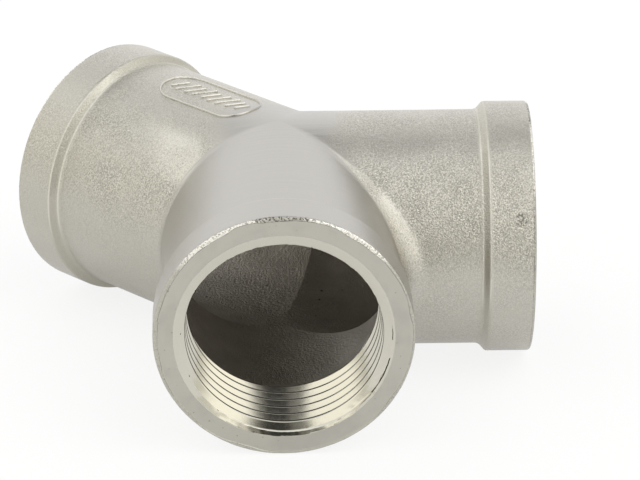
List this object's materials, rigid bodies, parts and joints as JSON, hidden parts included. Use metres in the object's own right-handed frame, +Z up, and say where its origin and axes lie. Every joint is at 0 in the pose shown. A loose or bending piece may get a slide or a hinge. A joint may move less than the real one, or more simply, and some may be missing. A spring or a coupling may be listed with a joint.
{
  "type": "y-splitter fitting",
  "caption": "Cast stainless pipe Y fitting with internally threaded ports: two outlets at a right angle and a stem between them.",
  "frame": {"origin": "point where the axes of the three bores meet", "axes": "+X along the right outlet, -Y along the front outlet, stem between -X and +Y, +Z up with the fitting lying flat"},
  "size_m": [0.084, 0.084, 0.041],
  "materials": {
    "cast_stainless": "bead-blasted casting, turned end faces"
  },
  "bodies": {
    "root": {"splitter_body": "cast_stainless"}
  },
  "joints": []
}
